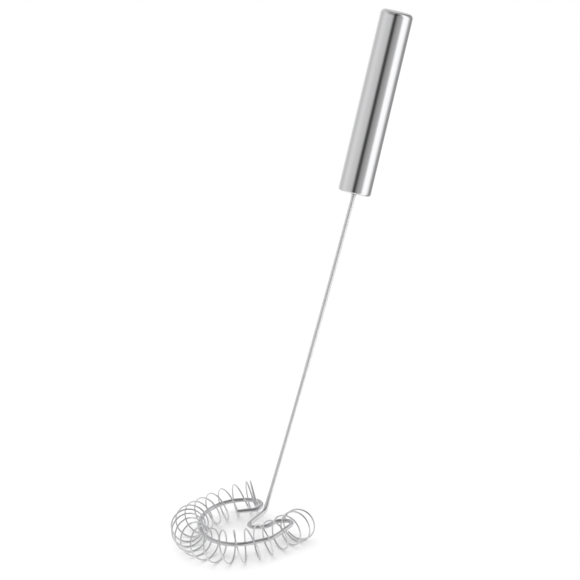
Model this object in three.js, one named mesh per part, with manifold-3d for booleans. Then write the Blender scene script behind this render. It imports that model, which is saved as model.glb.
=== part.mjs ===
// Spiral whisk: a round steel handle, one bent wire that is both shaft and ring, and a loose
// coil spring threaded on the ring. Millimetres, +Z up. The coil lies flat on Z = 0.

import * as THREE from 'three';
import { mergeVertices } from 'three/addons/utils/BufferGeometryUtils.js';
import Module from 'manifold-3d';

const DEG = Math.PI / 180;

// Clearance between neighbouring solids, also where the real pieces touch
const CLEARANCE = 0.3;

// Handle: a drawn steel tube, closed and rounded at its top, with a rolled lip below
const HANDLE_LENGTH = 102;
const HANDLE_DIAMETER = 18;
const HANDLE_WALL = 0.8;
const TOP_EDGE_RADIUS = 2.4;
const LIP_RADIUS = 1.3;
const LIP_OPENING = 13.6;
const HANDLE_FACETS = 40;

// End plate: the disc behind the lip, with a collar round the wire
const PLATE_THICKNESS = 1.2;
const COLLAR_WALL = 0.55;
const COLLAR_DROP = 0.7;
const PLATE_EDGE = 0.25;

// Core plug: the moulded plug that grips the wire inside the handle
const PLUG_LENGTH = 28;
const PLUG_RIBS = 4;
const PLUG_RIB_WIDTH = 3;
const PLUG_RIB_DEPTH = 0.9;
const PLUG_EDGE = 0.5;
const PLUG_FACETS = 32;

// Frame wire: its thickness, and the hook that locks it on top of the plug
const WIRE_DIAMETER = 2.3;
const WIRE_SIDES = 12;
const HOOK_RADIUS = 1.8;
const HOOK_LENGTH = 3.5;

// Ring: the part circle that carries the coil, with the azimuth where it starts
const RING_RADIUS = 22.6;
const RING_START = 66;
const RING_SWEEP = 217;

// Bends of the wire in the plane of the ring: a straight run in mm, then a turn in degrees
const REAR_HAIRPIN = { run: 8.7, turn: 155, radius: 5 };
const RING = { run: 0, turn: RING_SWEEP, radius: RING_RADIUS };
const FLANK = { run: 8.1, turn: 34.5, radius: 12.7 };
const FRONT_HAIRPIN = { run: 10.9, turn: 121, radius: 3.2 };
const INNER_DIP = { run: 2.6, turn: 50, radius: 5.5 };
const INNER_RISE = { run: 3, turn: -45, radius: 6.8 };
const TURN_BACK = { run: 3.5, turn: -122, radius: 3 };
const STUB_RUN = 11.7;

// Shaft: it rises from the stub with a slight bow. Tilts are from the vertical
const ELBOW_RADIUS = 4;
const SHAFT_LENGTH = 176.2;
const SHAFT_AZIMUTH_LOW = 48.9;
const SHAFT_TILT_LOW = 34.4;
const SHAFT_AZIMUTH_HIGH = 51.4;
const SHAFT_TILT_HIGH = 33.5;
const HANDLE_AZIMUTH = 53.6;
const HANDLE_TILT = 32.8;
const HANDLE_BEND_RADIUS = 60;

// Coil spring: its wire and turns, and where it starts and ends along its axis
const COIL_WIRE = 0.85;
const COIL_SIDES = 5;
const COIL_RADIUS = 8.8;
const COIL_TURNS = 21.875;
const STEPS_PER_TURN = 8;
const COIL_START = 1.43;
const COIL_OVERHANG = 4.04;
const COIL_START_ANGLE = 270;
const COIL_LIFT = 0.24;

// Spacing of the turns: nearly closed at each end, open between, crowded at the left bend
const REAR_PITCH = 1.99;
const REAR_CLOSED_TURNS = 1.08;
const REAR_RAMP_TURNS = 0.78;
const FRONT_PITCH = 1.55;
const FRONT_CLOSED_TURNS = 0;
const FRONT_RAMP_TURNS = 3.28;
const CROWDING = 0.38;
const CROWDED_TURN = 8.54;
const CROWDED_SPREAD = 4;

// How far the coil's axis stands outside the ring wire, at places along the wire
const STANDOFFS = [
  [0, 4.4], [0.081, 0.32], [0.183, -1.64], [0.285, -0.05], [0.386, 6.16], [0.478, 6.48],
  [0.569, 4.81], [0.671, 2.89], [0.773, 1.56], [0.875, -0.48], [0.956, 1.94], [1.017, 3.89],
  [1.058, 2.3],
];

// Set of the turns, by turn number: swing about the vertical, lean along the axis, and radius
const SWINGS = [
  [0, 2], [4, -3], [8, 17], [12, -6], [15, -5], [17.5, -5], [20, 16], [21.875, -7],
];
const LEANS = [
  [0, 10], [4, 6], [8, -8], [12, -8], [15, -4], [17.5, 0], [20, 14], [21.875, 12],
];
const FLARES = [
  [0, -0.02], [4, -0.33], [8, 0.1], [12, 0.28], [15, 0.2], [17.5, 0.12], [20, 0.1],
  [21.875, 0.03],
];

// Finishes
const BRUSHED_STEEL = { color: 0xb4b4b6, roughness: 0.34, metalness: 1 };
const PLATE_STEEL = { color: 0xa9a9ac, roughness: 0.42, metalness: 1 };
const WIRE_STEEL = { color: 0xc4c5c8, roughness: 0.22, metalness: 1 };
const SPRING_STEEL = { color: 0xb9babd, roughness: 0.2, metalness: 1 };
const PLUG_PLASTIC = { color: 0x3c3d3f, roughness: 0.6, metalness: 0 };

// Values that follow from the driving sizes
const wireRadius = WIRE_DIAMETER / 2;
const coilWireRadius = COIL_WIRE / 2;
const coilAxisHeight = COIL_RADIUS + coilWireRadius;
const boreRadius = wireRadius + CLEARANCE;
const seatRadius = HANDLE_DIAMETER / 2 - HANDLE_WALL - CLEARANCE;
const plateBottom = HANDLE_WALL + CLEARANCE;
const plugBottom = plateBottom + PLATE_THICKNESS + CLEARANCE;
const plugTop = plugBottom + PLUG_LENGTH;

// Unit vector at an azimuth and a tilt from the vertical, in degrees
function direction(azimuth, tilt) {
  return new THREE.Vector3().setFromSphericalCoords(1, tilt * DEG, (90 + azimuth) * DEG)
    .applyAxisAngle(new THREE.Vector3(1, 0, 0), Math.PI / 2);
}

// Unit vector in the plane of the ring
function heading(azimuth) {
  return new THREE.Vector3(Math.cos(azimuth * DEG), Math.sin(azimuth * DEG), 0);
}

// A wire's centre line under a bending machine: runs and arcs are added at its free end
class CentreLine {
  constructor(start, forward) {
    this.points = [start.clone()];
    this.forward = forward.clone();
  }

  get end() {
    return this.points[this.points.length - 1];
  }

  run(length) {
    if (length > 0) {
      this.points.push(this.end.clone().addScaledVector(this.forward, length));
    }
    return this;
  }

  // Turns about an axis through a centre one bend radius to the side
  turn(angle, radius, axis, stepAngle = 12) {
    const toCentre = axis.clone().cross(this.forward).multiplyScalar(Math.sign(angle) * radius);
    const centre = this.end.clone().add(toCentre);
    const arm = toCentre.clone().negate();
    const steps = Math.max(2, Math.ceil(Math.abs(angle) / stepAngle));
    for (let i = 1; i <= steps; i += 1) {
      const swung = arm.clone().applyAxisAngle(axis, (angle * DEG * i) / steps);
      this.points.push(centre.clone().add(swung));
    }
    this.forward.applyAxisAngle(axis, angle * DEG);
    return this;
  }

  // Turns the short way to a new direction
  turnTo(target, radius, stepAngle) {
    const axis = this.forward.clone().cross(target).normalize();
    return this.turn(this.forward.angleTo(target) / DEG, radius, axis, stepAngle);
  }

  flatMove({ run, turn, radius }, stepAngle) {
    return this.run(run).turn(turn, radius, new THREE.Vector3(0, 0, 1), stepAngle);
  }
}

// Closed tube round a centre line. Each point has an outward direction that aims its corners
function tube(points, outwards, radii, sides) {
  const positions = [];
  const index = [];
  points.forEach((point, i) => {
    const before = points[Math.max(i - 1, 0)];
    const after = points[Math.min(i + 1, points.length - 1)];
    const along = after.clone().sub(before).normalize();
    const across = along.clone().cross(outwards[i]).normalize();
    const out = across.clone().cross(along);
    for (let k = 0; k < sides; k += 1) {
      const angle = ((k + 0.5) / sides) * 2 * Math.PI;
      const corner = point.clone()
        .addScaledVector(out, radii[i] * Math.cos(angle))
        .addScaledVector(across, radii[i] * Math.sin(angle));
      positions.push(corner.x, corner.y, corner.z);
    }
  });
  for (let i = 0; i < points.length - 1; i += 1) {
    for (let k = 0; k < sides; k += 1) {
      const next = (k + 1) % sides;
      const a = i * sides + k;
      const b = i * sides + next;
      index.push(a, b, a + sides, b, b + sides, a + sides);
    }
  }
  const last = (points.length - 1) * sides;
  for (let k = 1; k < sides - 1; k += 1) {
    index.push(0, k + 1, k, last, last + k, last + k + 1);
  }
  const geometry = new THREE.BufferGeometry();
  geometry.setAttribute('position', new THREE.Float32BufferAttribute(positions, 3));
  geometry.setIndex(index);
  geometry.computeVertexNormals();
  return geometry;
}

// Corner radius at which a many-sided bar has the same area as the round one
function cornerRadius(radius, sides) {
  return radius * Math.sqrt((2 * Math.PI) / (sides * Math.sin((2 * Math.PI) / sides)));
}

// Outward directions carried along a centre line without twist
function carriedDirections(points, first) {
  const carried = [first.clone()];
  for (let i = 1; i < points.length; i += 1) {
    const before = points[Math.max(i - 2, 0)];
    const was = points[i - 1].clone().sub(before);
    const now = points[i].clone().sub(points[i - 1]).normalize();
    const turn = i === 1
      ? new THREE.Quaternion()
      : new THREE.Quaternion().setFromUnitVectors(was.normalize(), now);
    carried.push(carried[i - 1].clone().applyQuaternion(turn));
  }
  return carried;
}

// Quarter arc for a revolved profile, between two angles in degrees
function arcPoints(x, y, radius, from, to, steps) {
  const points = [];
  for (let i = 0; i <= steps; i += 1) {
    const angle = (from + ((to - from) * i) / steps) * DEG;
    points.push(new THREE.Vector2(x + radius * Math.cos(angle), y + radius * Math.sin(angle)));
  }
  return points;
}

// Revolves a profile of radius and height about +Z
function revolve(profile, facets) {
  return new THREE.LatheGeometry(profile, facets).rotateX(Math.PI / 2);
}

function mesh(name, geometry, finish) {
  const made = new THREE.Mesh(geometry, new THREE.MeshStandardMaterial(finish));
  made.name = name;
  return made;
}

// Value at x on a smooth curve through stations of [x, value]
function smoothThrough(stations, x) {
  const last = stations.length - 1;
  let i = 0;
  while (i < last - 1 && x > stations[i + 1][0]) {
    i += 1;
  }
  const slope = (k) => {
    const a = stations[Math.max(k - 1, 0)];
    const b = stations[Math.min(k + 1, last)];
    return (b[1] - a[1]) / (b[0] - a[0]);
  };
  const [x0, y0] = stations[i];
  const [x1, y1] = stations[i + 1];
  const span = x1 - x0;
  const t = (x - x0) / span;
  const t2 = t * t;
  const t3 = t2 * t;
  return y0 * (2 * t3 - 3 * t2 + 1) + y1 * (3 * t2 - 2 * t3)
    + slope(i) * span * (t3 - 2 * t2 + t) + slope(i + 1) * span * (t3 - t2);
}

// The whole bent wire, from its cut end round the ring and up the shaft into the handle
function frameCentreLine() {
  const ringCentre = new THREE.Vector3(0, 0, coilAxisHeight);
  const ringStart = ringCentre.clone().addScaledVector(heading(RING_START), RING_RADIUS);
  const hairpin = new CentreLine(ringStart, heading(RING_START - 90));
  hairpin.turn(-REAR_HAIRPIN.turn, REAR_HAIRPIN.radius, new THREE.Vector3(0, 0, 1));
  hairpin.run(REAR_HAIRPIN.run);
  const line = new CentreLine(hairpin.end, hairpin.forward.clone().negate());
  line.flatMove(REAR_HAIRPIN);
  line.flatMove(RING, 6);
  line.flatMove(FLANK, 7);
  line.flatMove(FRONT_HAIRPIN);
  line.flatMove(INNER_DIP);
  line.flatMove(INNER_RISE);
  line.flatMove(TURN_BACK);
  line.run(STUB_RUN);
  const low = direction(SHAFT_AZIMUTH_LOW, SHAFT_TILT_LOW);
  const high = direction(SHAFT_AZIMUTH_HIGH, SHAFT_TILT_HIGH);
  const handle = direction(HANDLE_AZIMUTH, HANDLE_TILT);
  line.turnTo(low, ELBOW_RADIUS);
  line.turnTo(high, SHAFT_LENGTH / low.angleTo(high), 0.3);
  line.turnTo(handle, HANDLE_BEND_RADIUS, 1);
  const handleFoot = line.end.clone().addScaledVector(handle, COLLAR_DROP);
  const hookBase = COLLAR_DROP + plugTop + CLEARANCE + wireRadius - HOOK_RADIUS;
  const sideways = handle.clone().cross(new THREE.Vector3(0, 0, 1)).normalize();
  line.run(hookBase);
  line.turnTo(sideways, HOOK_RADIUS, 18);
  line.run(HOOK_LENGTH);
  return { points: line.points, handleFoot, handleAxis: handle };
}

function frameWire(points) {
  const outwards = carriedDirections(points, new THREE.Vector3(0, 0, 1));
  const corner = cornerRadius(wireRadius, WIRE_SIDES);
  return tube(points, outwards, points.map(() => corner), WIRE_SIDES);
}

// The part of the ring wire that the coil covers, as close points with their travelled length
function coilGuide() {
  const start = heading(RING_START).multiplyScalar(RING_RADIUS);
  const line = new CentreLine(start, heading(RING_START + 90));
  line.flatMove(RING, 1);
  line.flatMove(FLANK, 1);
  const legStep = FRONT_HAIRPIN.run / 24;
  for (let i = 0; i < 24; i += 1) {
    line.run(legStep);
  }
  const covered = line.points.length - 1;
  for (let i = 0; i < 16; i += 1) {
    line.run(legStep);
  }
  return { points: line.points, covered };
}

// Running lengths of a line of points
function runningLengths(points) {
  const lengths = [0];
  for (let i = 1; i < points.length; i += 1) {
    lengths.push(lengths[i - 1] + points[i].distanceTo(points[i - 1]));
  }
  return lengths;
}

// The coil's own axis: the guide moved outwards by the standoffs
function coilAxis() {
  const { points, covered } = coilGuide();
  const lengths = runningLengths(points);
  const axis = points.map((point, i) => {
    const before = points[Math.max(i - 1, 0)];
    const after = points[Math.min(i + 1, points.length - 1)];
    const along = after.clone().sub(before).normalize();
    const outward = new THREE.Vector3(along.y, -along.x, 0);
    const standoff = smoothThrough(STANDOFFS, lengths[i] / lengths[covered]);
    return point.clone().addScaledVector(outward, standoff);
  });
  const axisLengths = runningLengths(axis);
  return { axis, lengths: axisLengths, coveredLength: axisLengths[covered] };
}

// Point and travel direction on the coil's axis, at a length along it
function placeOnAxis({ axis, lengths }, length) {
  let i = 0;
  while (i < axis.length - 2 && lengths[i + 1] < length) {
    i += 1;
  }
  const t = (length - lengths[i]) / (lengths[i + 1] - lengths[i]);
  const point = axis[i].clone().lerp(axis[i + 1], t);
  const before = axis[Math.max(i - 1, 0)];
  const after = axis[Math.min(i + 2, axis.length - 1)];
  return { point, along: after.clone().sub(before).normalize() };
}

// Length along the axis at each step of the coil, from the spacing of its turns
function turnPlaces(from, to) {
  const steps = Math.round(COIL_TURNS * STEPS_PER_TURN);
  const { smoothstep } = THREE.MathUtils;
  const frontRampEnd = COIL_TURNS - FRONT_CLOSED_TURNS;
  const closed = [];
  const open = [];
  for (let i = 0; i < steps; i += 1) {
    const turn = (i + 0.5) / STEPS_PER_TURN;
    const rearRamp = smoothstep(turn, REAR_CLOSED_TURNS, REAR_CLOSED_TURNS + REAR_RAMP_TURNS);
    const frontRamp = 1 - smoothstep(turn, frontRampEnd - FRONT_RAMP_TURNS, frontRampEnd);
    const openness = rearRamp * frontRamp;
    const crowd = CROWDING * Math.exp(-(((turn - CROWDED_TURN) / CROWDED_SPREAD) ** 2));
    const endPitch = turn < COIL_TURNS / 2 ? REAR_PITCH : FRONT_PITCH;
    closed.push((endPitch * (1 - openness)) / STEPS_PER_TURN);
    open.push((openness * (1 - crowd)) / STEPS_PER_TURN);
  }
  const sum = (values) => values.reduce((total, value) => total + value, 0);
  const openPitch = (to - from - sum(closed)) / sum(open);
  const places = [from];
  closed.forEach((step, i) => places.push(places[i] + step + openPitch * open[i]));
  return places;
}

// The coil's centre line: a right-handed helix round its axis, ending in short straight tips
function coilCentreLine() {
  const axisLine = coilAxis();
  const up = new THREE.Vector3(0, 0, 1);
  const points = [];
  const outwards = [];
  const end = axisLine.coveredLength + COIL_OVERHANG;
  turnPlaces(COIL_START, end).forEach((place, i) => {
    const turn = i / STEPS_PER_TURN;
    const { point, along } = placeOnAxis(axisLine, place);
    const facing = along.clone().applyAxisAngle(up, smoothThrough(SWINGS, turn) * DEG);
    const outward = facing.clone().cross(up);
    const lean = smoothThrough(LEANS, turn) * DEG;
    const radius = COIL_RADIUS + smoothThrough(FLARES, turn);
    const raised = up.clone().multiplyScalar(Math.cos(lean))
      .addScaledVector(facing, Math.sin(lean));
    const angle = (COIL_START_ANGLE + 360 * turn) * DEG;
    const arm = raised.multiplyScalar(Math.cos(angle)).addScaledVector(outward, Math.sin(angle));
    const height = coilAxisHeight + COIL_LIFT + arm.z * radius;
    points.push(point.clone().addScaledVector(arm, radius).setZ(height));
    outwards.push(arm);
  });
  const tip = (from, inner) => from.clone().addScaledVector(
    from.clone().sub(inner).normalize(), COIL_WIRE);
  const last = points.length - 1;
  points.unshift(tip(points[0], points[1]));
  points.push(tip(points[last + 1], points[last]));
  outwards.unshift(outwards[0]);
  outwards.push(outwards[last + 1]);
  return { points, outwards };
}

// Least gap of the coil's wire to itself, measured between points over half a turn apart
function leastOwnGap(points) {
  const fine = [];
  for (let i = 0; i < points.length - 1; i += 1) {
    for (let k = 0; k < 4; k += 1) {
      fine.push(points[i].clone().lerp(points[i + 1], k / 4));
    }
  }
  const halfTurn = STEPS_PER_TURN * 2;
  let least = Infinity;
  for (let i = 0; i < fine.length; i += 1) {
    for (let j = i + halfTurn; j < fine.length; j += 1) {
      least = Math.min(least, fine[i].distanceTo(fine[j]));
    }
  }
  return least - 2 * cornerRadius(coilWireRadius, COIL_SIDES);
}

// Least gap between two centre lines, less the half thickness of both wires
function leastGapBetween(coilPoints, wirePoints) {
  let least = Infinity;
  const segment = new THREE.Line3();
  const nearest = new THREE.Vector3();
  const samples = coilPoints.flatMap((point, i) => (
    i ? [point, point.clone().lerp(coilPoints[i - 1], 0.5)] : [point]));
  for (let i = 1; i < wirePoints.length; i += 1) {
    segment.set(wirePoints[i - 1], wirePoints[i]);
    samples.forEach((point) => {
      segment.closestPointToPoint(point, true, nearest);
      least = Math.min(least, nearest.distanceTo(point));
    });
  }
  return least - cornerRadius(coilWireRadius, COIL_SIDES) - cornerRadius(wireRadius, WIRE_SIDES);
}

const wasm = await Module();
wasm.setup();

function toManifold(geometry) {
  const bare = geometry.clone();
  bare.deleteAttribute('normal');
  bare.deleteAttribute('uv');
  const merged = mergeVertices(bare, 1e-5);
  return new wasm.Manifold(new wasm.Mesh({
    numProp: 3,
    vertProperties: new Float32Array(merged.attributes.position.array),
    triVerts: new Uint32Array(merged.index.array),
  }));
}

function toGeometry(solid) {
  const { vertProperties, triVerts } = solid.getMesh();
  const geometry = new THREE.BufferGeometry();
  geometry.setAttribute('position', new THREE.BufferAttribute(vertProperties, 3));
  geometry.setIndex(new THREE.BufferAttribute(triVerts, 1));
  geometry.computeVertexNormals();
  return geometry;
}

// The coil, ground flat by a tenth of its wire where it touches the surface below
function coilSpring({ points, outwards }) {
  const corner = cornerRadius(coilWireRadius, COIL_SIDES);
  const round = tube(points, outwards, points.map(() => corner), COIL_SIDES);
  round.computeBoundingBox();
  const size = round.boundingBox.getSize(new THREE.Vector3());
  const centre = round.boundingBox.getCenter(new THREE.Vector3());
  const floorCut = round.boundingBox.min.z + COIL_WIRE / 10;
  const block = new THREE.BoxGeometry(size.x * 2, size.y * 2, COIL_RADIUS);
  block.translate(centre.x, centre.y, floorCut - COIL_RADIUS / 2);
  return { geometry: toGeometry(toManifold(round).subtract(toManifold(block))), floorCut };
}

// Handle shell: closed rounded top, straight wall and a lip rolled in at the lower end
function handleShell() {
  const outer = HANDLE_DIAMETER / 2;
  const topCentre = HANDLE_LENGTH - TOP_EDGE_RADIUS;
  const profile = [
    new THREE.Vector2(0, HANDLE_LENGTH - HANDLE_WALL),
    ...arcPoints(outer - TOP_EDGE_RADIUS, topCentre, TOP_EDGE_RADIUS - HANDLE_WALL, 90, 0, 4),
    ...arcPoints(outer - LIP_RADIUS, LIP_RADIUS, LIP_RADIUS - HANDLE_WALL, 0, -90, 3),
    new THREE.Vector2(LIP_OPENING / 2, HANDLE_WALL),
    new THREE.Vector2(LIP_OPENING / 2, 0),
    ...arcPoints(outer - LIP_RADIUS, LIP_RADIUS, LIP_RADIUS, -90, 0, 4),
    ...arcPoints(outer - TOP_EDGE_RADIUS, topCentre, TOP_EDGE_RADIUS, 0, 90, 6),
    new THREE.Vector2(0, HANDLE_LENGTH),
  ];
  return revolve(profile, HANDLE_FACETS);
}

// End plate: a disc inside the lip, and a collar that reaches below the handle
function endPlate() {
  const top = plateBottom + PLATE_THICKNESS;
  const collar = boreRadius + COLLAR_WALL;
  const profile = [
    new THREE.Vector2(boreRadius, top),
    new THREE.Vector2(boreRadius, -COLLAR_DROP),
    new THREE.Vector2(collar - PLATE_EDGE, -COLLAR_DROP),
    new THREE.Vector2(collar, PLATE_EDGE - COLLAR_DROP),
    new THREE.Vector2(collar, plateBottom),
    new THREE.Vector2(seatRadius - PLATE_EDGE, plateBottom),
    new THREE.Vector2(seatRadius, plateBottom + PLATE_EDGE),
    new THREE.Vector2(seatRadius, top),
    new THREE.Vector2(boreRadius, top),
  ];
  return revolve(profile, HANDLE_FACETS);
}

// Core plug: ribs grip the tube, and the bore grips the wire
function corePlug() {
  const rib = seatRadius;
  const waist = seatRadius - PLUG_RIB_DEPTH;
  const gap = (PLUG_LENGTH - PLUG_RIBS * PLUG_RIB_WIDTH) / (PLUG_RIBS - 1);
  const profile = [new THREE.Vector2(boreRadius, plugTop), new THREE.Vector2(boreRadius, plugBottom)];
  for (let i = 0; i < PLUG_RIBS; i += 1) {
    const low = plugBottom + i * (PLUG_RIB_WIDTH + gap);
    const high = low + PLUG_RIB_WIDTH;
    profile.push(new THREE.Vector2(i ? waist : rib - PLUG_EDGE, low));
    profile.push(new THREE.Vector2(rib, low + PLUG_EDGE));
    profile.push(new THREE.Vector2(rib, high - PLUG_EDGE));
    profile.push(new THREE.Vector2(i < PLUG_RIBS - 1 ? waist : rib - PLUG_EDGE, high));
  }
  profile.push(new THREE.Vector2(boreRadius, plugTop));
  return revolve(profile, PLUG_FACETS);
}

// Assembly
const frame = frameCentreLine();
const coil = coilCentreLine();
const spring = coilSpring(coil);

const handle = new THREE.Group();
handle.position.copy(frame.handleFoot);
handle.quaternion.setFromUnitVectors(new THREE.Vector3(0, 0, 1), frame.handleAxis);
handle.add(mesh('handle_shell', handleShell(), BRUSHED_STEEL));
handle.add(mesh('end_plate', endPlate(), PLATE_STEEL));
handle.add(mesh('core_plug', corePlug(), PLUG_PLASTIC));

const whisk = new THREE.Group();
whisk.add(handle);
whisk.add(mesh('frame_wire', frameWire(frame.points), WIRE_STEEL));
whisk.add(mesh('coil_spring', spring.geometry, SPRING_STEEL));

// The origin is the middle of the whole whisk's footprint, on the surface it lies on
whisk.updateMatrixWorld(true);
const box = new THREE.Box3().setFromObject(whisk, true);
const middle = box.getCenter(new THREE.Vector3());
whisk.position.set(-middle.x, -middle.y, -spring.floorCut);

const ownGap = leastOwnGap(coil.points);
const wireGap = leastGapBetween(coil.points, frame.points);
const { x, y, z } = whisk.position;
console.log(`coil spring: least gap to itself ${ownGap.toFixed(2)} mm`);
console.log(`coil spring: least gap to the wire ${wireGap.toFixed(2)} mm`);
console.log(`ring centre at ${x.toFixed(3)}, ${y.toFixed(3)}, ${(z + coilAxisHeight).toFixed(3)}`);
console.log(`coil axis covers ${coilAxis().coveredLength.toFixed(2)} mm`);

export default whisk;
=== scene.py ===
"""Spiral whisk: the smooth handle, the bent wire and the loose coil spring, lit for a picture.

Lengths are in millimetres until a piece is made, and +Z is up from the floor.
"""

import bpy
import numpy as np
from mathutils import Matrix


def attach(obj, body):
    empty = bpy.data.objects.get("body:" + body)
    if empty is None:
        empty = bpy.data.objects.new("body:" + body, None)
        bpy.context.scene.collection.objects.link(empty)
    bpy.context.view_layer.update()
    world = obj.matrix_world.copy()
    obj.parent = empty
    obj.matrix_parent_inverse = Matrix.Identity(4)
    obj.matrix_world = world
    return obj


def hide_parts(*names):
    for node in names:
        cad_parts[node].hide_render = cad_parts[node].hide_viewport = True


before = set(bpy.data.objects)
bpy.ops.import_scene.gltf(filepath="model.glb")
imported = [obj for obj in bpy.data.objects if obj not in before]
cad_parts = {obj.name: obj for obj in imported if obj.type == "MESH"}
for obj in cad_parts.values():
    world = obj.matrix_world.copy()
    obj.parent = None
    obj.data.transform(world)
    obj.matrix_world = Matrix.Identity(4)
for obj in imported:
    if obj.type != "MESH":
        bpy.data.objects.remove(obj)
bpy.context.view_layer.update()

MM = 0.001
UP = np.array([0.0, 0.0, 1.0])

# Where the ring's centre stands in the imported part
RING_CENTRE = np.array([-40.355, -51.917, 9.107])

# The wire's bends in the plane of the ring: a straight run, then a turn in degrees
WIRE_RADIUS = 1.15
RING_RADIUS = 22.6
RING_START = 66.0
RING_SWEEP = 217.0
REAR_HAIRPIN = (8.7, 155.0, 5.0)
RING = (0.0, RING_SWEEP, RING_RADIUS)
FLANK = (8.1, 34.5, 12.7)
FRONT_HAIRPIN = (10.9, 121.0, 3.2)
INNER_DIP = (2.6, 50.0, 5.5)
INNER_RISE = (3.0, -45.0, 6.8)
TURN_BACK = (3.5, -122.0, 3.0)
STUB_RUN = 11.7

# The shaft's directions: azimuth and tilt from the vertical, in degrees
SHAFT_LOW = (48.9, 34.4)
SHAFT_HIGH = (51.4, 33.5)
HANDLE_LEAN = (53.6, 32.8)
ELBOW_RADIUS = 4.0
SHAFT_LENGTH = 176.2
HANDLE_BEND_RADIUS = 60.0
COLLAR_DROP = 0.7
WIRE_IN_HANDLE = 33.0
WIRE_SIDES = 28
WIRE_END_ROUNDING = 0.25

# Handle tube
HANDLE_LENGTH = 102.0
HANDLE_RADIUS = 9.0
HANDLE_WALL = 0.8
TOP_EDGE_RADIUS = 2.4
LIP_RADIUS = 1.3
LIP_OPENING = 6.8
LIP_EDGE = 0.12
WALL_POINTS = 38
HANDLE_FACETS = 128

# End plate, set into the handle's lip, with its collar and the small weld round that
PLATE_RADIUS = 7.9
PLATE_SET_IN = 0.3
PLATE_TOP = 1.5
PLATE_EDGE = 0.25
PLATE_FACETS = 64
COLLAR_RADIUS = 1.9
COLLAR_EDGE = 0.4
WELD_RADIUS = 0.5
BORE_PLAY = 0.02

# Coil spring
COIL_WIRE_RADIUS = 0.44
COIL_WIRE_SIDES = 14
COIL_END_ROUNDING = 0.12
STEPS_PER_TURN = 64
COIL_RADIUS = 8.8
COIL_TURNS = 21.875
COIL_START = 1.43
COIL_OVERHANG = 4.2
COIL_START_ANGLE = 270.0
COIL_LIFT = 0.24
REAR_LEAD = (1.99, 1.08, 0.78)
FRONT_LEAD = (1.55, 0.0, 3.28)
CROWDING = (0.38, 8.54, 4.0)

# How far the coil's axis stands outside the ring wire, at places along the wire
STANDOFFS = (
    (0, 4.4), (0.081, 0.32), (0.183, -1.64), (0.285, -0.05), (0.386, 6.16), (0.478, 6.48),
    (0.569, 4.81), (0.671, 2.89), (0.773, 1.56), (0.875, -0.48), (0.956, 1.94), (1.017, 3.89),
    (1.058, 2.3),
)

# Set of the turns, by turn number: swing about the vertical, lean along the axis, and radius
SWINGS = ((0, 2), (4, -3), (8, 17), (12, -6), (15, -5), (17.5, -5), (20, 16), (21.875, -7))
LEANS = ((0, 10), (4, 6), (8, -8), (12, -8), (15, -4), (17.5, 0), (20, 14), (21.875, 12))
FLARES = (
    (0, -0.02), (4, -0.33), (8, 0.1), (12, 0.28), (15, 0.2), (17.5, 0.12), (20, 0.1),
    (21.875, 0.03),
)

# Heights between which the wire's steel is painted from the ring's darker colour to the shaft's
# lighter one, painted shade and painted light on one steel, and how far below the handle's top its
# end face is painted darker, a painted shade
SHAFT_PAINTED_LIGHT_HEIGHTS = (9.8, 19.0)
END_FACE_PAINTED_SHADE_DEPTHS = (1.0, 0.1)

# Round white table under the coil: how light it is, and how much it is lifted for the camera
TABLE_RADIUS = 170.0
TABLE_SIDES = 96
TABLE_TONE = 0.8
TABLE_LIFT = 0.1

# Broad lamp above the table: its strength, its width and its lean, in degrees
LAMP_STRENGTH = 2.2
LAMP_WIDTH = 75.0
LAMP_LEAN = (-7.0, -6.0)

# Camera: its own right and up, how far it stands back, the width that it takes in, and where the
# picture's middle lies from the ring's centre, to the right and up
CAMERA_RIGHT = (0.99564, -0.04886, -0.07942)
CAMERA_UP = (0.09324, 0.52171, 0.84802)
CAMERA_DISTANCE = 12000.0
CAMERA_REACH = 30.0
PICTURE_WIDTH = 316.4
PICTURE_MIDDLE = (26.96, 126.6)


def unit(vectors):
    """Each vector divided by its own length."""
    return vectors / np.linalg.norm(vectors, axis=-1, keepdims=True)


def lean(azimuth, tilt):
    """Direction at an azimuth and a tilt from the vertical, in degrees."""
    azimuth, tilt = np.radians([azimuth, tilt])
    level = np.sin(tilt)
    return np.array([level * np.cos(azimuth), level * np.sin(azimuth), np.cos(tilt)])


def heading(azimuth):
    """Level direction at an azimuth in degrees."""
    return lean(azimuth, 90.0)


def ease(value, low, high):
    """Smooth step from 0 at low to 1 at high: three t squared less two t cubed."""
    t = np.clip((value - low) / (high - low), 0.0, 1.0)
    return t * t * (3.0 - 2.0 * t)


def arc(start, forward, turn, radius, axis, step):
    """Points of a bend: the arm from its centre is turned in even steps, cosine and sine of the
    angle times the arm and its quarter turn. Returns the points and the new forward direction."""
    centre = start + np.cross(axis, forward) * np.sign(turn) * radius
    arm = start - centre
    count = max(3, int(np.ceil(abs(turn) / step)))
    angle = np.radians(np.linspace(0.0, turn, count + 1)[1:, None])
    points = centre + arm * np.cos(angle) + np.cross(axis, arm) * np.sin(angle)
    end = np.radians(turn)
    return points, forward * np.cos(end) + np.cross(axis, forward) * np.sin(end)


def bend_wire(start, forward, moves, step=3.0, run_points=1):
    """A bending machine's wire: each move is a straight run in the current direction, then a
    level bend about the vertical."""
    points, forward = [start[None]], np.array(forward, float)
    for run, turn, radius in moves:
        end = points[-1][-1]
        if run > 0.0:
            share = np.linspace(0.0, 1.0, run_points + 1)[1:, None]
            points.append(end + forward * run * share)
            end = points[-1][-1]
        bent, forward = arc(end, forward, turn, radius, UP, step)
        points.append(bent)
    return np.concatenate(points), forward


def turn_to(points, forward, target, radius, step):
    """Bends the short way to a new direction, about the axis square to both."""
    axis = unit(np.cross(forward, target))
    turn = np.degrees(np.arccos(np.clip(forward @ target, -1.0, 1.0)))
    bent, _ = arc(points[-1], forward, turn, radius, axis, step)
    return np.concatenate([points, bent])


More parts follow.
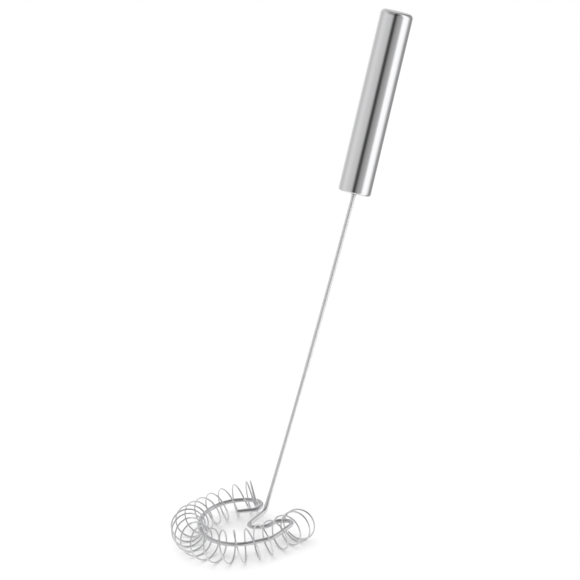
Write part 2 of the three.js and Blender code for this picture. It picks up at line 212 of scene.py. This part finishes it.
def whole_wire():
    """Centre line of the bent wire from its cut end to its hidden end inside the handle, and the
    foot of the handle with its direction."""
    head = [REAR_HAIRPIN, RING, FLANK, FRONT_HAIRPIN, INNER_DIP, INNER_RISE, TURN_BACK]
    start_heading = RING_START + 90.0 - REAR_HAIRPIN[1]
    to_ring, at_ring = bend_wire(np.zeros(3), heading(start_heading), [REAR_HAIRPIN])
    ring_centre = to_ring[-1] + np.cross(UP, at_ring) * RING_RADIUS
    path, forward = bend_wire(RING_CENTRE - ring_centre, heading(start_heading), head)
    path = np.vstack([path, path[-1] + forward * STUB_RUN])
    low, high, grip = lean(*SHAFT_LOW), lean(*SHAFT_HIGH), lean(*HANDLE_LEAN)
    path = turn_to(path, forward, low, ELBOW_RADIUS, 3.0)
    bow = np.arccos(low @ high)
    path = turn_to(path, low, high, SHAFT_LENGTH / bow, 0.15)
    path = turn_to(path, high, grip, HANDLE_BEND_RADIUS, 0.3)
    foot = path[-1] + grip * COLLAR_DROP
    return np.vstack([path, path[-1] + grip * WIRE_IN_HANDLE]), foot, grip


def running_length(path):
    """Length travelled along a line of points, from zero."""
    steps = np.linalg.norm(np.diff(path, axis=0), axis=1)
    return np.concatenate([[0.0], np.cumsum(steps)])


def smooth_through(stations, x):
    """Curve through stations: in each span a cubic that leaves and arrives with the slope
    between the station's neighbours."""
    at, values = np.array(stations, float).T
    order = np.arange(len(at))
    low, high = np.maximum(order - 1, 0), np.minimum(order + 1, len(at) - 1)
    slope = (values[high] - values[low]) / (at[high] - at[low])
    i = np.clip(np.searchsorted(at, x) - 1, 0, len(at) - 2)
    span = at[i + 1] - at[i]
    t = (x - at[i]) / span
    leave = values[i] * (2 * t**3 - 3 * t**2 + 1) + slope[i] * span * (t**3 - 2 * t**2 + t)
    arrive = values[i + 1] * (3 * t**2 - 2 * t**3) + slope[i + 1] * span * (t**3 - t**2)
    return leave + arrive


def along_path(path):
    """Unit travel direction at each point, from its two neighbours."""
    return unit(np.gradient(path, axis=0))


def spring_axis():
    """The coil's own axis: the covered part of the ring wire, moved outwards by the standoffs."""
    start = heading(RING_START) * RING_RADIUS
    guide, forward = bend_wire(start, heading(RING_START + 90.0), [RING, FLANK], step=1.0)
    covered = FRONT_HAIRPIN[0]
    leg = np.linspace(0.0, 1.5 * covered, 37)[1:, None]
    guide = np.vstack([guide, guide[-1] + forward * leg])
    length = running_length(guide)
    whole = length[-1] - 0.5 * covered
    outward = np.cross(along_path(guide), UP)
    offset = smooth_through(STANDOFFS, length / whole)
    axis = guide + outward * offset[:, None]
    return axis, np.interp(whole, length, running_length(axis))


def turn_places(first, last):
    """Place along the axis of each step: nearly closed turns at both ends, an even lead between
    them, and a smooth crowding round the left bend, scaled so that the coil ends on its mark."""
    turn = (np.arange(int(round(COIL_TURNS * STEPS_PER_TURN))) + 0.5) / STEPS_PER_TURN
    pitch, closed, ramp = REAR_LEAD
    openness = ease(turn, closed, closed + ramp)
    front_pitch, front_closed, front_ramp = FRONT_LEAD
    front_end = COIL_TURNS - front_closed
    openness = openness * (1.0 - ease(turn, front_end - front_ramp, front_end))
    depth, middle, spread = CROWDING
    crowd = depth * np.exp(-(((turn - middle) / spread) ** 2))
    end_pitch = np.where(turn < COIL_TURNS / 2.0, pitch, front_pitch)
    closed_steps = end_pitch * (1.0 - openness) / STEPS_PER_TURN
    open_steps = openness * (1.0 - crowd) / STEPS_PER_TURN
    lead = (last - first - closed_steps.sum()) / open_steps.sum()
    return first + np.concatenate([[0.0], np.cumsum(closed_steps + lead * open_steps)])


def spring_line():
    """Right-handed helix round the spring's axis: at each angle the arm is the cosine of the
    angle upwards and its sine outwards. The turns swing round, lean and flare by their number."""
    axis, covered = spring_axis()
    place = turn_places(COIL_START, covered + COIL_OVERHANG)
    length = running_length(axis)
    tangent = along_path(axis)
    point = np.stack([np.interp(place, length, axis[:, k]) for k in range(3)], axis=1)
    facing = np.stack([np.interp(place, length, tangent[:, k]) for k in range(3)], axis=1)
    turn = np.arange(len(place)) / STEPS_PER_TURN
    swing = np.arctan2(facing[:, 1], facing[:, 0]) + np.radians(smooth_through(SWINGS, turn))
    facing = np.stack([np.cos(swing), np.sin(swing), np.zeros_like(swing)], axis=1)
    tilt = np.radians(smooth_through(LEANS, turn))[:, None]
    raised = UP * np.cos(tilt) + facing * np.sin(tilt)
    angle = np.radians(COIL_START_ANGLE + 360.0 * turn)[:, None]
    outward = np.cross(facing, UP)
    arm = raised * np.cos(angle) + outward * np.sin(angle)
    radius = COIL_RADIUS + smooth_through(FLARES, turn)[:, None]
    line = point * (1.0, 1.0, 0.0) + arm * radius + UP * COIL_LIFT
    tip = 2.0 * COIL_WIRE_RADIUS
    first_tip = line[0] + unit(line[0] - line[1]) * tip
    last_tip = line[-1] + unit(line[-1] - line[-2]) * tip
    return np.vstack([first_tip, line, last_tip]) + RING_CENTRE


def rounded_ends(path, radius, rounding):
    """Radius along a wire: full, but at each end it falls by a quarter circle over the rounding.
    Points are added there. Returns the path and its radii."""
    angle = np.linspace(0.0, np.pi / 2.0, 6)
    set_in = rounding * (1.0 - np.sin(angle))
    radii = radius - rounding + rounding * np.cos(angle)
    first = path[0] + unit(path[1] - path[0]) * set_in[::-1, None]
    last = path[-1] + unit(path[-2] - path[-1]) * set_in[:, None]
    body = path[1:-1]
    full = np.full(len(body), radius)
    return np.vstack([first, body, last]), np.concatenate([radii[::-1], full, radii])


def tube(path, radii, sides):
    """Round bar: a circle of the given radius stands square to the path at each point, and a
    single point closes each end."""
    along = along_path(path)
    across = unit(np.cross(along, UP))
    over = np.cross(across, along)
    angle = 2.0 * np.pi * np.arange(sides) / sides
    cosine, sine = np.cos(angle)[None, :, None], np.sin(angle)[None, :, None]
    spoke = cosine * across[:, None] + sine * over[:, None]
    rings = path[:, None] + radii[:, None, None] * spoke
    return close_rings(rings, path[0], path[-1])


def close_rings(rings, first, last):
    """Joins a grid of rings into one closed skin, with a point at each end."""
    count, sides = rings.shape[:2]
    points = np.vstack([rings.reshape(-1, 3), first, last])
    ring, side = np.meshgrid(np.arange(count - 1), np.arange(sides), indexing="ij")
    a = (ring * sides + side).ravel()
    b = (ring * sides + (side + 1) % sides).ravel()
    quads = np.stack([a, b, b + sides, a + sides], axis=1)
    k = np.arange(sides)
    after = (k + 1) % sides
    base = (count - 1) * sides
    start_fan = np.stack([after, k, np.full(sides, count * sides)], axis=1)
    end_fan = np.stack([base + k, base + after, np.full(sides, count * sides + 1)], axis=1)
    return points, quads, np.vstack([start_fan, end_fan])


def turned(profile, foot, axis, facets):
    """Surface of revolution: the profile of radius and height is carried round the axis. Its
    first and last points lie on the axis, or it closes on itself round a bore."""
    across = unit(np.cross(axis, UP))
    over = np.cross(axis, across)
    angle = 2.0 * np.pi * np.arange(facets) / facets
    spoke = np.cos(angle)[:, None] * across + np.sin(angle)[:, None] * over
    rings = foot + profile[:, 1, None, None] * axis + profile[:, 0, None, None] * spoke[None]
    if profile[0, 0] == 0.0:
        return close_rings(rings[1:-1], rings[0, 0], rings[-1, 0])
    return ring_skin(rings)


def ring_skin(rings):
    """Joins rings into a closed loop, the last one back to the first."""
    count, sides = rings.shape[:2]
    ring, side = np.meshgrid(np.arange(count), np.arange(sides), indexing="ij")
    after = (ring + 1) % count
    a = (ring * sides + side).ravel()
    b = (ring * sides + (side + 1) % sides).ravel()
    c = (after * sides + (side + 1) % sides).ravel()
    d = (after * sides + side).ravel()
    return rings.reshape(-1, 3), np.stack([a, b, c, d], axis=1), np.zeros((0, 3), int)


def signed_volume(points, quads, fans):
    """Six times the volume inside the skin: positive when the faces point outwards."""
    corners = [quads[:, :3], quads[:, [0, 2, 3]], fans]
    triangles = points[np.concatenate(corners)]
    return np.einsum("ij,ij->", triangles[:, 0], np.cross(triangles[:, 1], triangles[:, 2]))


def make_piece(name, skin, material, body, stands_for):
    """Puts a skin into a mesh in metres, faces outwards and smooth, and ties it to its body."""
    points, quads, fans = skin
    if signed_volume(points, quads, fans) < 0.0:
        quads, fans = quads[:, ::-1], fans[:, ::-1]
    mesh = bpy.data.meshes.new(name)
    mesh.from_pydata((points * MM).tolist(), [], quads.tolist() + fans.tolist())
    mesh.polygons.foreach_set("use_smooth", np.ones(len(mesh.polygons), bool))
    mesh.materials.append(material)
    mesh.update()
    piece = bpy.data.objects.new(name, mesh)
    bpy.context.scene.collection.objects.link(piece)
    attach(piece, body)
    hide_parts(stands_for)


def corner(radius, height, bend, start, end, steps=12):
    """Quarter arc of a profile between two angles in degrees."""
    angle = np.radians(np.linspace(start, end, steps + 1))
    return np.stack([radius + bend * np.cos(angle), height + bend * np.sin(angle)], axis=1)


def handle_profile():
    """The tube's wall from the inside of its closed top, down, round the lip and up again."""
    inner_top = HANDLE_LENGTH - HANDLE_WALL
    side = HANDLE_RADIUS - TOP_EDGE_RADIUS
    shoulder = HANDLE_LENGTH - TOP_EDGE_RADIUS
    lip = HANDLE_RADIUS - LIP_RADIUS
    wall_run = np.linspace(LIP_RADIUS, shoulder, WALL_POINTS + 2)[1:-1]
    inside = np.stack([np.full(WALL_POINTS, HANDLE_RADIUS - HANDLE_WALL), wall_run[::-1]], axis=1)
    outside = np.stack([np.full(WALL_POINTS, HANDLE_RADIUS), wall_run], axis=1)
    return np.vstack([
        [[0.0, inner_top], [side - 0.5, inner_top]],
        corner(side, shoulder, TOP_EDGE_RADIUS - HANDLE_WALL, 90.0, 0.0),
        inside,
        corner(lip, LIP_RADIUS, LIP_RADIUS - HANDLE_WALL, 0.0, -90.0),
        [[LIP_OPENING, HANDLE_WALL], [LIP_OPENING - LIP_EDGE, HANDLE_WALL / 2]],
        [[LIP_OPENING, 0.0]],
        corner(lip, LIP_RADIUS, LIP_RADIUS, -90.0, 0.0),
        outside,
        corner(side, shoulder, TOP_EDGE_RADIUS, 0.0, 90.0),
        [[side - 0.3, HANDLE_LENGTH], [side / 2, HANDLE_LENGTH], [0.0, HANDLE_LENGTH]],
    ])


def plate_profile():
    """Disc with a short collar below it, rounded where the collar ends and where it meets the
    disc, as a small weld would be."""
    bore = WIRE_RADIUS + BORE_PLAY
    bottom, top = HANDLE_WALL + PLATE_SET_IN, HANDLE_WALL + PLATE_TOP
    return np.vstack([
        [[bore, top], [bore, 0.5], [bore, -COLLAR_DROP]],
        corner(COLLAR_RADIUS - COLLAR_EDGE, COLLAR_EDGE - COLLAR_DROP, COLLAR_EDGE, -90.0, 0.0, 6),
        corner(COLLAR_RADIUS + WELD_RADIUS, bottom - WELD_RADIUS, WELD_RADIUS, 180.0, 90.0, 6),
        [[PLATE_RADIUS - 1.0, bottom]],
        corner(PLATE_RADIUS - PLATE_EDGE, bottom + PLATE_EDGE, PLATE_EDGE, -90.0, 0.0, 4),
        [[PLATE_RADIUS, top], [4.0, top]],
    ])


def steel(name, colour, roughness, streaks, foot=None, axis=None):
    """Bare steel. Fine streaks along the piece change its roughness and lift its surface by a
    hair: a noise on Object coordinates, turned to the axis and drawn out along it."""
    material = bpy.data.materials.new(name)
    material.use_nodes = True
    nodes, links = material.node_tree.nodes, material.node_tree.links
    shader = nodes["Principled BSDF"]
    shader.inputs["Base Color"].default_value = (*colour, 1.0)
    shader.inputs["Metallic"].default_value = 1.0
    place = nodes.new("ShaderNodeTexCoord")
    turn = nodes.new("ShaderNodeMapping")
    turn.vector_type = "TEXTURE"
    if axis is not None:
        across = unit(np.cross(axis, UP))
        over = np.cross(axis, across)
        spin = Matrix(np.stack([across, over, axis], axis=1).tolist()).to_euler()
        turn.inputs["Location"].default_value = tuple(foot * MM)
        turn.inputs["Rotation"].default_value = tuple(spin)
    stretch = nodes.new("ShaderNodeMapping")
    stretch.inputs["Scale"].default_value = streaks
    grain = nodes.new("ShaderNodeTexNoise")
    grain.inputs["Scale"].default_value = 1.0
    grain.inputs["Detail"].default_value = 3.0
    spread = nodes.new("ShaderNodeMapRange")
    spread.inputs["To Min"].default_value = roughness * 0.75
    spread.inputs["To Max"].default_value = roughness * 1.25
    bump = nodes.new("ShaderNodeBump")
    bump.inputs["Strength"].default_value = 0.06
    bump.inputs["Distance"].default_value = 0.0001
    links.new(place.outputs["Object"], turn.inputs["Vector"])
    links.new(turn.outputs["Vector"], stretch.inputs["Vector"])
    links.new(stretch.outputs["Vector"], grain.inputs["Vector"])
    links.new(grain.outputs["Fac"], spread.inputs["Value"])
    links.new(grain.outputs["Fac"], bump.inputs["Height"])
    links.new(spread.outputs["Result"], shader.inputs["Roughness"])
    links.new(bump.outputs["Normal"], shader.inputs["Normal"])
    return material


def painted_tone_by_height(material, colour, heights, softer=0.0):
    """Paints another colour on a steel, as painted light or shade, and a softer gloss further up
    its own
    frame: the Z of the Object coordinates, turned as the streaks are, moves both between the two
    heights."""
    nodes, links = material.node_tree.nodes, material.node_tree.links
    shader = nodes["Principled BSDF"]
    height = nodes.new("ShaderNodeSeparateXYZ")
    share = nodes.new("ShaderNodeMapRange")
    share.inputs["From Min"].default_value = heights[0] * MM
    share.inputs["From Max"].default_value = heights[1] * MM
    painted_mix = nodes.new("ShaderNodeMix")
    painted_mix.data_type = "RGBA"
    painted_mix.inputs["A"].default_value = shader.inputs["Base Color"].default_value
    painted_mix.inputs["B"].default_value = (*colour, 1.0)
    links.new(nodes["Mapping"].outputs["Vector"], height.inputs["Vector"])
    links.new(height.outputs["Z"], share.inputs["Value"])
    links.new(share.outputs["Result"], painted_mix.inputs["Factor"])
    links.new(painted_mix.outputs["Result"], shader.inputs["Base Color"])
    gloss = nodes.new("ShaderNodeMath")
    gloss.operation = "MULTIPLY_ADD"
    gloss.inputs[1].default_value = softer
    links.new(share.outputs["Result"], gloss.inputs[0])
    links.new(nodes["Map Range"].outputs["Result"], gloss.inputs[2])
    links.new(gloss.outputs["Value"], shader.inputs["Roughness"])


def moulded_plastic():
    """Dark matte plastic with a faint grain."""
    material = bpy.data.materials.new("dark moulded plastic")
    material.use_nodes = True
    nodes, links = material.node_tree.nodes, material.node_tree.links
    shader = nodes["Principled BSDF"]
    shader.inputs["Base Color"].default_value = (0.05, 0.05, 0.055, 1.0)
    place = nodes.new("ShaderNodeTexCoord")
    grain = nodes.new("ShaderNodeTexNoise")
    grain.inputs["Scale"].default_value = 900.0
    spread = nodes.new("ShaderNodeMapRange")
    spread.inputs["To Min"].default_value = 0.5
    spread.inputs["To Max"].default_value = 0.7
    links.new(place.outputs["Object"], grain.inputs["Vector"])
    links.new(grain.outputs["Fac"], spread.inputs["Value"])
    links.new(spread.outputs["Result"], shader.inputs["Roughness"])
    return material


def white_floor():
    """Round white table under the coil. It ends in white for the camera and keeps the soft
    shadow. Its rim is the cosine and sine of the angle, times the radius."""
    angle = 2.0 * np.pi * np.arange(TABLE_SIDES) / TABLE_SIDES
    rim = np.stack([np.cos(angle), np.sin(angle), 0.0 * angle], axis=1) * TABLE_RADIUS
    mesh = bpy.data.meshes.new("table top")
    corners = (rim + RING_CENTRE * (1.0, 1.0, 0.0)) * MM
    mesh.from_pydata(corners.tolist(), [], [list(range(TABLE_SIDES))])
    material = bpy.data.materials.new("white table")
    material.use_nodes = True
    nodes, links = material.node_tree.nodes, material.node_tree.links
    nodes.remove(nodes["Principled BSDF"])
    matte = nodes.new("ShaderNodeBsdfDiffuse")
    matte.inputs["Color"].default_value = (TABLE_TONE, TABLE_TONE, TABLE_TONE, 1.0)
    glow = nodes.new("ShaderNodeEmission")
    rays = nodes.new("ShaderNodeLightPath")
    seen = nodes.new("ShaderNodeMath")
    seen.operation = "MAXIMUM"
    lift = nodes.new("ShaderNodeMath")
    lift.operation = "MULTIPLY"
    lift.inputs[1].default_value = TABLE_LIFT
    both = nodes.new("ShaderNodeAddShader")
    links.new(rays.outputs["Is Camera Ray"], seen.inputs[0])
    links.new(rays.outputs["Is Glossy Ray"], seen.inputs[1])
    links.new(seen.outputs["Value"], lift.inputs[0])
    links.new(lift.outputs["Value"], glow.inputs["Strength"])
    links.new(matte.outputs["BSDF"], both.inputs[0])
    links.new(glow.outputs["Emission"], both.inputs[1])
    links.new(both.outputs["Shader"], nodes["Material Output"].inputs["Surface"])
    mesh.materials.append(material)
    table = bpy.data.objects.new("table_top", mesh)
    bpy.context.scene.collection.objects.link(table)


# Brightness of the studio round the handle: the angle from the viewer, right-hand side positive
STUDIO = (
    (-180, 0.8), (-150, 0.9), (-125, 0.72), (-112, 0.72), (-92, 0.9), (-75, 0.9), (-55, 0.8),
    (-32, 0.74), (-22, 0.6), (-14, 0.1), (-2, 0.04), (4, 0.16), (12, 0.38), (30, 0.5), (46, 0.62),
    (56, 1.4), (84, 1.4), (100, 1.1), (111, 0.55), (125, 0.38), (150, 0.36), (168, 0.6),
    (180, 0.8),
)

# Share of that light left straight overhead, and the heights between which it falls
OVERHEAD = 0.5
OVERHEAD_FROM = 0.62
OVERHEAD_TO = 0.85


def studio(viewer, axis):
    """Soft studio light: the world's brightness depends on the angle of a direction round the
    handle's axis, counted from the viewer. It is plain white for the camera."""
    world = bpy.data.worlds.new("studio")
    bpy.context.scene.world = world
    world.use_nodes = True
    nodes, links = world.node_tree.nodes, world.node_tree.links
    background = nodes["Background"]
    toward = unit(viewer - axis * (viewer @ axis))
    right = np.cross(axis, toward)
    place = nodes.new("ShaderNodeTexCoord")
    parts = []
    for name, vector in (("right", right), ("toward", toward)):
        dot = nodes.new("ShaderNodeVectorMath")
        dot.operation = "DOT_PRODUCT"
        dot.label = name
        dot.inputs[1].default_value = tuple(vector)
        links.new(place.outputs["Generated"], dot.inputs[0])
        parts.append(dot.outputs["Value"])
    angle = nodes.new("ShaderNodeMath")
    angle.operation = "ARCTAN2"
    links.new(parts[0], angle.inputs[0])
    links.new(parts[1], angle.inputs[1])
    share = nodes.new("ShaderNodeMapRange")
    share.inputs["From Min"].default_value = -np.pi
    share.inputs["From Max"].default_value = np.pi
    links.new(angle.outputs["Value"], share.inputs["Value"])
    ramp = nodes.new("ShaderNodeValToRGB")
    stops = ramp.color_ramp.elements
    while len(stops) > 1:
        stops.remove(stops[-1])
    brightest = max(level for _, level in STUDIO)
    for count, (degrees, level) in enumerate(STUDIO):
        stop = stops[0] if count == 0 else stops.new((degrees + 180.0) / 360.0)
        stop.position = (degrees + 180.0) / 360.0
        stop.color = (level / brightest, level / brightest, level / brightest, 1.0)
    links.new(share.outputs["Result"], ramp.inputs["Fac"])
    height = nodes.new("ShaderNodeSeparateXYZ")
    links.new(place.outputs["Generated"], height.inputs["Vector"])
    above = nodes.new("ShaderNodeMapRange")
    above.inputs["From Min"].default_value = OVERHEAD_FROM
    above.inputs["From Max"].default_value = OVERHEAD_TO
    above.inputs["To Min"].default_value = 1.0
    above.inputs["To Max"].default_value = OVERHEAD
    links.new(height.outputs["Z"], above.inputs["Value"])
    dimmed = nodes.new("ShaderNodeVectorMath")
    dimmed.operation = "SCALE"
    links.new(ramp.outputs["Color"], dimmed.inputs[0])
    links.new(above.outputs["Result"], dimmed.inputs["Scale"])
    rays = nodes.new("ShaderNodeLightPath")
    white = nodes.new("ShaderNodeMix")
    white.data_type = "RGBA"
    white.inputs["B"].default_value = (1.0, 1.0, 1.0, 1.0)
    links.new(rays.outputs["Is Camera Ray"], white.inputs["Factor"])
    links.new(dimmed.outputs["Vector"], white.inputs["A"])
    level = nodes.new("ShaderNodeMapRange")
    level.inputs["To Min"].default_value = brightest
    level.inputs["To Max"].default_value = 1.0
    links.new(rays.outputs["Is Camera Ray"], level.inputs["Value"])
    links.new(white.outputs["Result"], background.inputs["Color"])
    links.new(level.outputs["Result"], background.inputs["Strength"])


def overhead_softbox():
    """Broad soft light from above and a little behind, which draws the close shadow on the
    table. The steel doesn't mirror it."""
    light = bpy.data.lights.new("overhead softbox", "SUN")
    light.energy = LAMP_STRENGTH
    light.angle = np.radians(LAMP_WIDTH)
    lamp = bpy.data.objects.new("overhead_softbox", light)
    bpy.context.scene.collection.objects.link(lamp)
    lamp.rotation_euler = (*np.radians(LAMP_LEAN), 0.0)
    lamp.visible_glossy = False


def photograph_camera():
    """Long lens, looking down at the ring at the photograph's angle and roll. The picture's
    middle lies a little right of the ring's centre and well above it."""
    right, up = np.array(CAMERA_RIGHT), np.array(CAMERA_UP)
    back = np.cross(right, up)
    middle = RING_CENTRE + right * PICTURE_MIDDLE[0] + up * PICTURE_MIDDLE[1]
    lens = bpy.data.cameras.new("camera")
    lens.sensor_width = 36.0
    lens.lens = lens.sensor_width * CAMERA_DISTANCE / PICTURE_WIDTH
    lens.clip_end = CAMERA_REACH
    camera = bpy.data.objects.new("camera", lens)
    bpy.context.scene.collection.objects.link(camera)
    spin = Matrix(np.stack([right, up, back], axis=1).tolist()).to_4x4()
    spin.translation = ((middle + back * CAMERA_DISTANCE) * MM).tolist()
    camera.matrix_world = spin
    bpy.context.scene.camera = camera
    return back


wire, handle_foot, handle_axis = whole_wire()

handle_steel_painted_end = steel("satin handle steel with painted shade end", (0.7, 0.7, 0.71), 0.17, (2500.0, 2500.0, 25.0),
                     handle_foot, handle_axis)
# The end plate's steel is painted dark: a painted shade under the handle's foot, where the wire
# goes in.
plate_steel_painted_shade = steel("end plate steel with painted shade", (0.3, 0.3, 0.31), 0.35, (900.0, 900.0, 900.0))
# The wire's steel is painted darker at the ring and lighter up the shaft: painted shade and
# painted light on one steel.
wire_steel_painted_light = steel("drawn wire steel with painted light", (0.62, 0.62, 0.63), 0.34, (700.0, 700.0, 700.0))
painted_tone_by_height(wire_steel_painted_light, (0.87, 0.87, 0.88), SHAFT_PAINTED_LIGHT_HEIGHTS, 0.26)
# The handle's end face is painted darker than its side: a painted shade on the top of the same
# steel.
painted_shade_face = tuple(HANDLE_LENGTH - depth for depth in END_FACE_PAINTED_SHADE_DEPTHS)
painted_tone_by_height(handle_steel_painted_end, (0.5, 0.5, 0.51), painted_shade_face)
spring_steel = steel("spring wire steel", (0.7, 0.7, 0.71), 0.3, (900.0, 900.0, 900.0))

make_piece("handle_tube", turned(handle_profile(), handle_foot, handle_axis, HANDLE_FACETS),
           handle_steel_painted_end, "frame", "handle_shell")
make_piece("wire_collar", turned(plate_profile(), handle_foot, handle_axis, PLATE_FACETS),
           plate_steel_painted_shade, "frame", "end_plate")
wire_path, wire_radii = rounded_ends(wire, WIRE_RADIUS, WIRE_END_ROUNDING)
make_piece("bent_wire", tube(wire_path, wire_radii, WIRE_SIDES),
           wire_steel_painted_light, "frame", "frame_wire")
spring_path, spring_radii = rounded_ends(spring_line(), COIL_WIRE_RADIUS, COIL_END_ROUNDING)
spring_points, spring_quads, spring_fans = tube(spring_path, spring_radii, COIL_WIRE_SIDES)
spring_points[:, 2] = np.maximum(spring_points[:, 2], 0.0)
make_piece("loose_spring", (spring_points, spring_quads, spring_fans),
           spring_steel, "coil", "coil_spring")

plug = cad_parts["core_plug"]
plug.data.materials.clear()
plug.data.materials.append(moulded_plastic())

white_floor()
toward_viewer = photograph_camera()
studio(toward_viewer, handle_axis)
overhead_softbox()
bpy.context.scene.view_settings.view_transform = "Standard"
